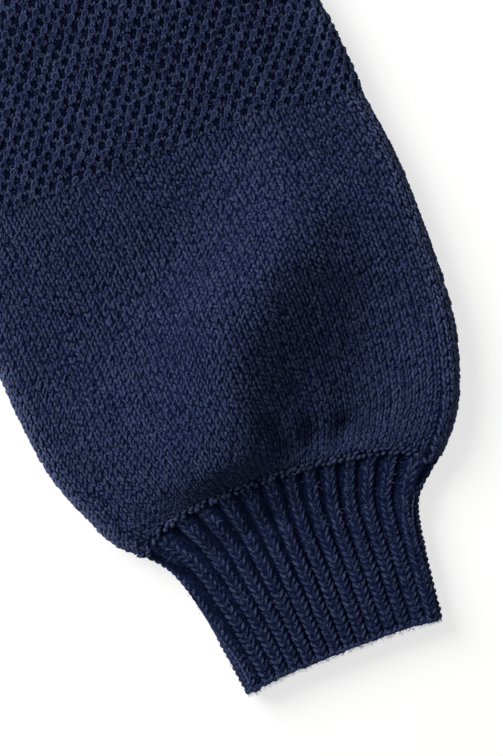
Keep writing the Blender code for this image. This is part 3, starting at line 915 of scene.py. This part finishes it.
def addTube(name, rings, rows, around, wall, inset, creases, material, slot, side=1,
            columns=0, columnAt=None, courseStep=1.0, furrow=0.0, shade=None, **bend):
    # Closed cloth: outer skin, inner skin and a strip across each open end. It goes
    # round from the middle of the underside. Its knit is laid out in metres, or for rib
    # in columns and courses, with furrows sunk between the arched columns.
    v = np.linspace(0, len(rings) - 1, rows)[:, None]
    q = np.arange(around + 1) / around - 0.25
    column, fold = np.broadcast_to(columns * (q + 0.25), (rows, around + 1)), 0.0
    if columnAt:
        column = columnAt(v, q)
        fold = np.abs(np.where(q % 1.0 <= 0.5, 1 - 4 * (q % 1.0), 1.0))
    furrow = furrow * (1 - 0.8 * smooth((fold - 0.90) / 0.06))
    sunk = inset + furrow * (1 - columnArch(column))
    outer = tubeSkin(rings, v, q, sunk, creases, **bend)
    inner = tubeSkin(rings, v, q, inset + np.max(furrow) + wall, creases, **bend)
    top = np.argmin(np.abs(q - 0.25))
    if columns or columnAt:
        across = column
        along = np.broadcast_to(lengthAlong(outer[:, top])[:, None] / courseStep, column.shape)
    else:
        arc = lengthAlong(outer)
        across = arc[:, top:top + 1] - arc
        along = outer @ axis
    outer, inner = outer[:, :-1], inner[:, :-1]
    faces, place = closeGrids(rows, around, across, along, side < 0, True)
    marks = {"tone": patterns["tone"], "relief": 1.0, "kind": 0.0}
    if shade:
        marks.update(shade(across[:, :-1], along[:, :-1], q[:-1]))
    marks = {key: np.broadcast_to(value, (2, rows, around)) for key, value in marks.items()}
    points = np.concatenate([outer, inner]) * [side, 1, 1]
    return addPiece(name, points, [faces], [place], marks, material, slot)


def bothSkins(outer, inner):
    # values for the outer skin's points, and one number for all of the inner's
    return np.stack([outer, np.full_like(outer, inner)])


def shadeSleeve(across, along, q, covered=1.0):
    # which stitch shows where, and where the separate strands cover the cloth, which is painted darker
    # there as shade between them
    m = np.clip(np.where(q < 0.5, 1 - 4 * q, 0.0), -1, 1)
    kind = smooth((sleeve["plainFrom"] + droop(m) - along) / 0.003 + 0.5)
    onTop = np.where((q > -0.03) & (q < 0.53), covered, 0.0)
    under = onTop * smooth((along - sleeve["near"]) / 0.004)
    return {"kind": kind, "relief": bothSkins(1 - under, 1.0),
            # painted shade: the cloth under the strands is darker, more so in the textured knit
            "tone": bothSkins(patterns["tone"] - 0.85 * under - 0.15 * under * kind, 0.55)}


sleeveLeft = addTube("sleeveLeft", sleeveRings, 111, 108, sleeve["wall"],
                     sleeve["yarnDepth"] + sleeve["under"], sleeve["creases"], sleeveKnit, "knit",
                     shade=shadeSleeve)
plainSheet = makePlainSheet()
tuckSheet, tuckShare = makeTuckSheet()
plainPiece = makePlainStitches(plainSheet)
tuckNear, tuckUnder = makeTuckLoops(tuckSheet, tuckShare)
plainReach = (-plain["reachAcross"], plain["reachAcross"])
hairs = [fuzz(plainSheet, plain["hairs"], (0, plain["courses"]), plainReach, 0.0010, 0.0022),
         fuzz(tuckSheet, tuck["hairs"], (0.150, 0.264), (-0.110, 0.110), 0.0010, 0.0026)]
tone, spread = sleeve["hairTone"]
tone = np.clip(tone + spread * draw.normal(0, 1, plain["hairs"] + tuck["hairs"]), 0.3, 2.0)
sleeveFuzz = addStrands("sleeveLeftFuzz", hairs, tone, plainYarn, "knit")
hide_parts("sleeve_left")
print("left sleeve made")

# the left cuff
cuff = {
    "cut": (0.224, 0.078),  # round its middle, and seam to open end
    "wall": 0.0008,
    "yarnDepth": 0.0015,
    "courses": 27,
    "courseStep": (0.00262, 0.00214),  # at the seam and at the open end
    "patternStep": 0.0024,  # the same for the underside, whose stitches are bump
    "columnHalf": (0.00205, 0.00268),  # half the width of one knit column, likewise
    "radius": 0.00074,
    "legReach": (0.78, 0.58),  # half a leg's length in courses, likewise
    "legHeight": (0.00005, -0.00120),  # of its two ends, in the column's middle and at its side
    "tone": (0.16, 0.14),  # middle and spread
    "gapDepth": 0.00185,  # how far the furrows lie under the columns
    "creases": (
        (0.0034, -0.0024, ((0.5290, -0.2440), (0.5640, -0.2225))),
    ),
    "seamRows": ((0.10, 0.0014), (0.66, 0.0011)),  # course and height of the bumps
    "seamRadius": 0.00104,
    "seamStep": 0.29,  # from bump to bump, in columns
    # painted light: the seam's bumps are lighter than the cuff, more so towards negative columns
    "seamHighlight": (0.60, -0.035),  # at the middle, and its change for each column
    "rimRadius": 0.00115,
    "rimStep": 0.22,
    "foldLines": ((-6.62, 0.00052, 1.3), (6.86, 0.00046, 0.9)),  # column, radius and tone
    # painted light: the hairs at the open end are much paler than the yarn
    "hairs": ((500, 0.0), (1500, 0.85)),  # count and paleness, on the cuff and at its rim
}


def columnPlace(column, v):
    # where a knit column runs, as a share of the half width: even steps, with the inner
    # columns leaning out towards the seam
    inner = np.maximum(-column - 0.5, 0.0)
    edgeOnes = np.maximum(-column - 4.6, 0.0)
    up = smooth((1.0 - np.clip(v / (len(cuffRings) - 1), 0, 1)) * 1.15)
    return 0.0145 + 0.1338 * column - 0.010 * edgeOnes**2 - up * (0.019 + 0.020 * inner)


def makeCuffSheet():
    # along is courses from the seam, across is knit columns from the middle; past the
    # folds the columns go on round the tube at the same pitch
    v = np.linspace(0, len(cuffRings) - 1, 241)
    length = lengthAlong(tubeSkin(cuffRings, v[:, None], 0.25, cuff["yarnDepth"])[:, 0])
    courses = np.arange(0, cuff["courses"] + 0.01, 0.25)
    first, last = cuff["courseStep"]
    reach = first * courses + (last - first) * courses**2 / (2 * cuff["courses"])
    at = np.interp(reach * (length[-1] / reach[-1]), length, v)
    m = np.linspace(-1.9, 1.9, 761)
    skin = tubeSkin(cuffRings, at[:, None], 0.25 - m / 4, cuff["yarnDepth"], cuff["creases"])
    columns = np.arange(-10.5, 10.51, 0.05)
    points, spots = [], []
    for v, line, row in zip(at, skin, alongTable(cuffRings, at)):
        across = row[0:2] - row[2:4]
        half = np.linalg.norm(across) / 2
        share = (line[:, :2] - (row[0:2] + row[2:4]) / 2) @ (across / (2 * half)) / half
        arc = lengthAlong(line)
        arc = (arc - np.interp(0, m, arc)) / half
        top = (np.abs(share) < 0.93) & (np.abs(m) < 1)
        wanted = columnPlace(columns, v)
        inside = np.clip(wanted, -0.93, 0.93)
        spots.append(np.interp(inside, share[top], arc[top]) + (wanted - inside))
        points.append(readLine(spots[-1], arc, line))
    # a few rows more, straight on past the open end and falling a little
    step = points[-1] - points[-2] - [0.0, 0.0, 0.0003]
    points += [points[-1] + k * step for k in range(1, 7)]
    return Sheet(np.array(points), (0.0, columns[0]), (0.25, 0.05)), (at, columns, np.array(spots))


def makeCuffStitches(sheet):
    # Each knit column is a braid: grains go from its middle line out and back up the
    # cuff, flatter towards the open end, and drop into the furrow beside the column.
    c, w, hand = legPairs(np.arange(cuff["courses"]) + 0.5, np.arange(-9, 10) + 0.5)
    late = smooth(c / cuff["courses"] * 1.3)
    jitter = scatter(len(c), 8)
    first, last = cuff["columnHalf"]
    half = (first + (last - first) * late) / sheet.scaleAt(pair(c, w))[:, 1]
    half = hand * np.minimum(half * 1.14, 0.46)
    first, last = cuff["legReach"]
    rise = first + (last - first) * late
    start = pair(c + rise + 0.05 * jitter[0], w + half * (0.12 + 0.05 * jitter[1]))
    end = pair(c - rise + 0.06 * jitter[2], w + half * (0.92 + 0.05 * jitter[3]))
    high, low = cuff["legHeight"]
    sag = pair(high + 0.00008 * jitter[4], low + 0.00010 * jitter[5])
    lift = 0.00045 * (1 + 0.15 * jitter[6])
    radius = cuff["radius"] * (1 + 0.07 * jitter[7]) * (0.92 + 0.12 * late)
    tone, spread = cuff["tone"]
    tone = np.clip(tone + spread * draw.normal(0, 1, len(c)), -0.2, 1.1)
    legs = grains(sheet, start, end, sag, lift, radius, sides=6, rings=4, bow=-hand * 0.0002)
    return addStrands("cuffLeftStitches", [legs], tone, ribYarn, "rib")


def makeSeam(sheet):
    # two rows of fat slanted bumps where the sleeve is linked to the cuff
    at = np.arange(-9.6, 9.6, cuff["seamStep"])
    made, tones = [], []
    tone, change = cuff["seamHighlight"]
    for row, (along, lift) in enumerate(cuff["seamRows"]):
        jitter = scatter(len(at), 6)
        middle = pair(along + 0.10 * jitter[0], at + row * 0.14 + 0.03 * jitter[1])
        slant = pair(0.24 + 0.08 * jitter[2], -0.10 + 0.04 * jitter[3])
        sunk = lift - 0.0008 - 0.0018 * smooth((np.abs(at) - 5.9) / 1.2)
        radius = cuff["seamRadius"] * (1 + 0.14 * jitter[4])
        made.append(grains(sheet, middle - slant, middle + slant, sunk[:, None], 0.0008, radius,
                           sides=6, rings=3))
        # painted light: lighter bumps, growing lighter towards negative columns
        tones.append(np.clip(tone + change * at + 0.15 * jitter[5], 0.0, 1.3))
    return addStrands("cuffLeftSeam", made, np.concatenate(tones), ribYarn, "rib")


def makeCuffEdge(sheet):
    # the cast-on edge of the open end, and the line down each side where the face turns
    last = cuff["courses"]
    at = np.arange(-10.2, 10.2, cuff["rimStep"])
    jitter = scatter(len(at), 4)
    middle = pair(last - 0.12 + 0.06 * jitter[0], at)
    slant = pair(0.06 * jitter[1], 0.19)
    made = [grains(sheet, middle - slant, middle + slant, -0.0007, 0.0003,
                   cuff["rimRadius"] * (1 + 0.1 * jitter[2]), sides=6, rings=3, squash=0.85)]
    tones = [np.clip(0.1 * jitter[3], -0.2, 1)]
    steps = np.arange(6.0, last - 0.5, 0.75)
    for place, thick, tone in cuff["foldLines"]:
        drift = place + 0.10 * np.sin(steps * 0.35)
        made.append(grains(sheet, pair(steps - 0.55, drift), pair(steps + 0.55, drift + 0.02),
                           -0.0003, 0.0003, thick, sides=5, rings=3, squash=0.85))
        tones.append(np.full(len(steps), tone))
    return addStrands("cuffLeftEdge", made, np.concatenate(tones), ribYarn, "rib")


def shadeCuff(across, along, q):
    # painted shade in the furrows between columns; the rib's bump shows only underneath, where no strands
    # are
    under = np.where((q > -0.06) & (q < 0.56), 1.0, 0.0) + 0 * along
    arch = columnArch(across)
    tone = (-0.72 + 0.84 * arch) * under + (0.30 + 0.35 * arch) * (1 - under)
    return {"tone": bothSkins(tone, 0.3), "relief": bothSkins(1 - under, 1.0)}


def cuffColumn(v, q):
    # the knit column at each place of the tube; beyond the top it goes on at the same
    # pitch, and its middle is at a half
    at, columns, spots = cuffColumns
    arc = lengthAlong(tubeSkin(cuffRings, v, q, cuff["yarnDepth"]))
    arc = arc[:, np.argmin(np.abs(q - 0.25))][:, None] - arc
    result = np.zeros(arc.shape)
    for i, row in enumerate(alongTable(cuffRings, v[:, 0])):
        k = np.interp(v[i, 0], at, np.arange(len(at)))
        low, share = int(k), k - int(k)
        spot = (1 - share) * spots[low] + share * spots[min(low + 1, len(at) - 1)]
        where = arc[i] / (np.linalg.norm(row[0:2] - row[2:4]) / 2)
        past = (where - np.clip(where, spot[0], spot[-1])) / ((spot[-1] - spot[-41]) / 2)
        result[i] = np.interp(where, spot, columns) + past
    return result


cuffSheet, cuffColumns = makeCuffSheet()
cuffLeft = addTube("cuffLeft", cuffRings, 29, 240, cuff["wall"], cuff["yarnDepth"] - 0.0001,
                   cuff["creases"], ribKnit, "rib", columnAt=cuffColumn,
                   courseStep=cuff["patternStep"], furrow=cuff["gapDepth"], shade=shadeCuff)
cuffStitches = makeCuffStitches(cuffSheet)
cuffSeam = makeSeam(cuffSheet)
cuffEdge = makeCuffEdge(cuffSheet)
(frontHairs, dim), (rimHairs, rimHairLight) = cuff["hairs"]
last = cuff["courses"]
hairs = [fuzz(cuffSheet, frontHairs, (0.5, last), (-8.5, 8.5), 0.0004, 0.0020),
         fuzz(cuffSheet, rimHairs, (last + 0.02, last + 0.42), (-8.5, 8.5), -0.0004, 0.0018, 0.00003)]
tone = np.repeat([dim, rimHairLight], [frontHairs, rimHairs])
tone = tone + (0.04 + 0.25 * tone) * draw.normal(0, 1, len(tone))
cuffFuzz = addStrands("cuffLeftFuzz", hairs, np.clip(tone, 0.0, 1.0), napYarn, "rib")
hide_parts("cuff_left")
print("left cuff made")


def mirrorPiece(source, name, slot):
    # the same mesh on the other side of the body, its faces turned to point outwards
    mesh = source.data.copy()
    mesh.name = name
    points = np.empty(len(mesh.vertices) * 3, np.float32)
    mesh.vertices.foreach_get("co", points)
    points = points.reshape(-1, 3) * [-1, 1, 1]
    mesh.vertices.foreach_set("co", points.ravel())
    mesh.flip_normals()
    mesh.update()
    return placePiece(name, mesh, slot)


# the right sleeve and cuff
rightSleeve = {
    # its folds fall in the same places, some deeper and some shallower
    "share": (0.8, 0.7, 1.1, 0.9, 1.2, 0.8, 1.0, 1.3, 0.8, 1.2, 0.9, 1.1, 1, 1, 1, 1),
    "inset": 0.0005,
}
rightCreases = [(width, height * share, line) for share, (width, height, line)
                in zip(rightSleeve["share"], sleeve["creases"])]
sleeveRight = addTube("sleeveRight", sleeveRings, 131, 150, sleeve["wall"], rightSleeve["inset"],
                      rightCreases, sleeveKnit, "knit", side=-1,
                      shade=partial(shadeSleeve, covered=0.0))
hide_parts("sleeve_right")
cuffRight = mirrorPiece(cuffLeft, "cuffRight", "rib")
cuffRightStitches = mirrorPiece(cuffStitches, "cuffRightStitches", "rib")
cuffRightSeam = mirrorPiece(cuffSeam, "cuffRightSeam", "rib")
cuffRightEdge = mirrorPiece(cuffEdge, "cuffRightEdge", "rib")
cuffRightFuzz = mirrorPiece(cuffFuzz, "cuffRightFuzz", "rib")
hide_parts("cuff_right")
print("right sleeve and cuff made")

# the body
body = {
    "cut": (0.629, 0.570),  # each panel: widest part, and hem seam to shoulder
    "frontArea": 0.329,
    "backArea": 0.333,
    "sides": ((-0.265, 0.286), (-0.235, 0.300), (-0.120, 0.314), (-0.030, 0.3125), (0.060, 0.310)),
    "shoulder": (0.290, 0.270),
    "neckHalf": 0.100,
    "neckY": 0.305,
    "frontDrop": 0.090,
    "backDrop": 0.020,
    "underarmY": 0.060,
    "underarmTurn": 0.008,
    "height": 0.0067,  # both panels together
    "roll": 0.0055,
    "tuck": 0.0046,
    "wall": 0.0030,
    "creases": (
        (0.020, 0.0050, ((0.290, 0.040), (0.170, 0.110))),
        (0.024, 0.0045, ((0.285, -0.010), (0.120, -0.030))),
        (0.022, 0.0045, ((0.235, -0.225), (0.215, -0.130))),
        (0.024, 0.0040, ((0.110, -0.230), (0.120, -0.140))),
        (0.022, 0.0038, ((0.000, -0.228), (-0.015, -0.150))),
        (0.009, -0.0022, ((0.270, 0.010), (0.205, 0.060))),
        (0.008, -0.0018, ((0.250, -0.050), (0.165, -0.075))),
        (0.010, -0.0020, ((0.175, -0.215), (0.160, -0.150))),
        (0.012, 0.0024, ((0.060, 0.150), (0.085, 0.060))),
    ),
}


def sideWidth(y):
    # half the body's width: a curve up to the underarm, then the straight armhole
    curve = alongTable(body["sides"], np.linspace(0, len(body["sides"]) - 1, 25))
    heights = np.append(curve[:, 0], [body["shoulder"][1], body["neckY"]])
    return np.interp(y, heights, np.append(curve[:, 1], [body["shoulder"][0]] * 2))


def rolled(distance):
    # a quarter circle: how far a rolled edge has dropped at this distance from it
    r = body["roll"]
    return r - np.sqrt(r**2 - np.clip(r - distance, 0, r) ** 2)


def pastNeck(x):
    # 0 across the neck, 1 from a centimetre out along the shoulder
    return smooth((np.abs(x) - body["neckHalf"]) / 0.010)


def neckline(x, drop):
    # half an ellipse for the scoop, and shoulders that slope away from it
    neckHalf, neckY = body["neckHalf"], body["neckY"]
    shoulderX, shoulderY = body["shoulder"]
    across = np.clip(np.abs(x) / neckHalf, 0, 1)
    fall = (shoulderY - neckY) / (shoulderX - neckHalf)
    slope = neckY + fall * (np.abs(x) - neckHalf)
    return np.where(np.abs(x) < neckHalf, neckY - drop * np.sqrt(1 - across**2), slope)


def panelGrid(drop, rowsLow, rowsHigh):
    # columns from hem to neck or shoulder, spread evenly between the two sides
    roll, width, armpit = body["roll"], body["shoulder"][0], body["underarmY"]
    turned = np.array([1.0, 0.72, 0.5, 0.3, 0.15, 0.05, 0.0]) * roll
    neck = body["neckHalf"] * np.sin(np.linspace(-pi / 2, pi / 2, 41))
    shoulder = np.linspace(body["neckHalf"], width - roll, 42)[1:]
    outwards = np.append(shoulder, (width - turned)[1:])
    topX = np.concatenate([-outwards[::-1], neck, outwards])
    edge = np.append(np.full(len(shoulder), roll), turned[1:])
    edge = np.concatenate([edge[::-1], np.full(len(neck), roll), edge])
    top = neckline(topX, drop)
    low = np.linspace(body["sides"][0][0], armpit - body["underarmTurn"], rowsLow)
    high = armpit + np.linspace(0, 1, rowsHigh)[:, None] * (top - roll - armpit)
    last = top - turned[1:][:, None]
    y = np.concatenate([np.repeat(low[:, None], len(topX), 1), high, last])
    return topX * (sideWidth(y) - edge) / (sideWidth(top) - edge), y, top


def addPanel(name, outer, inner):
    # one flat panel; its knit is laid out in metres along x and y
    faces, place = closeGrids(*outer.shape[:2], outer[..., 0], outer[..., 1], False, False)
    points = np.array([outer, inner])
    marks = {"tone": np.full(points.shape[:3], patterns["tone"]), "relief": np.ones(points.shape[:3])}
    return addPiece(name, points, [faces], [place], marks, bodyKnit, "knit")


def makeFront():
    # The upper layer: level, with its sides and shoulders rolled down over the back
    # panel by a quarter circle, and with creases as bell curves.
    x, y, top = panelGrid(body["frontDrop"], 84, 44)
    fromTop = top - y
    fromSide = sideWidth(y) - np.abs(x)
    sidePart = y < body["underarmY"] - body["underarmTurn"] / 2
    dip = np.maximum(rolled(fromSide) * sidePart, rolled(fromTop) * pastNeck(x))
    edge = np.minimum.reduce([fromSide, fromTop, y - body["sides"][0][0]])
    rise = creaseHeight(body["creases"], np.abs(x), y) * smooth((edge - body["roll"]) / 0.03)
    outer = np.dstack([x, y, body["height"] - dip + rise])
    normal = normalsOf(outer)
    normal = normal * np.sign(normal[..., 2].mean())
    inner = outer - normal * body["wall"]
    inner[..., 2] = np.maximum(inner[..., 2], 0.0002)
    return addPanel("frontPanel", outer, inner)


def makeBack():
    # The lower layer: flat, with a round edge, and tucked in under the front's roll.
    x, y, top = panelGrid(body["backDrop"], 50, 30)
    tuckIn, half = body["tuck"], body["wall"] / 2
    low = smooth((body["underarmY"] - y) / body["underarmTurn"])
    x = x * (1 - tuckIn * low / sideWidth(y))
    shoulder = pastNeck(x) * smooth((y - 0.15) / 0.1)
    y = y - tuckIn * shoulder
    fromSide = sideWidth(y) - tuckIn * low - np.abs(x)
    fromTop = top - tuckIn * shoulder - y
    away = np.minimum.reduce([fromSide, fromTop, y - body["sides"][0][0]]) / 0.0012
    thick = half * (0.25 + 0.75 * np.sqrt(1 - np.clip(1 - away, 0, 1) ** 2))
    return addPanel("backPanel", np.dstack([x, y, half + thick]), np.dstack([x, y, half - thick]))


front = makeFront()
back = makeBack()
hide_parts("front")
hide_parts("back")

hem = {
    "cut": (1.130, 0.065),  # a strip as long as the hem is round
    "half": (0.286, 0.2789, 0.275),  # half widths at the seam, the middle and the free edge
    "start": 1,  # the fold that it goes round from is at +X
    "y": (-0.2643, -0.29765, -0.330),
    "height": 0.0071,
    "columns": 204,
    "courseStep": 0.00235,
    "furrow": 0.0011,
    "wall": 0.0012,
    "inset": 0.0001,
}
neck = {
    "cut": (0.480, 0.030),
    "half": (0.1033, 0.0952, 0.0872),
    "start": -1,
    "y": (0.3040, 0.31765, 0.330),
    "bow": 0.090,
    "columns": 88,
}


def addRib(name, ring, bow, rows, perColumn, **bend):
    # a ring of rib in two layers, its sections as high as they lie and round at the folds
    height = hem["height"]
    rings = [(half * ring["start"], y, -half * ring["start"], y, height / 2, height, bow)
             for half, y in zip(ring["half"], ring["y"])]
    return addTube(name, rings, rows, ring["columns"] * perColumn, hem["wall"], hem["inset"], (),
                   ribKnit, "rib", columns=ring["columns"], courseStep=hem["courseStep"],
                   furrow=hem["furrow"], **bend)


hemRib = addRib("hemRib", hem, 0.0, 12, 6)
neckband = addRib("neckbandRib", neck, neck["bow"], 9, 8, bowPower=0.5,
                  lowerBow=body["backDrop"] / body["frontDrop"])
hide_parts("hem_rib")
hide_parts("neckband")
print("body, hem rib and neckband made")
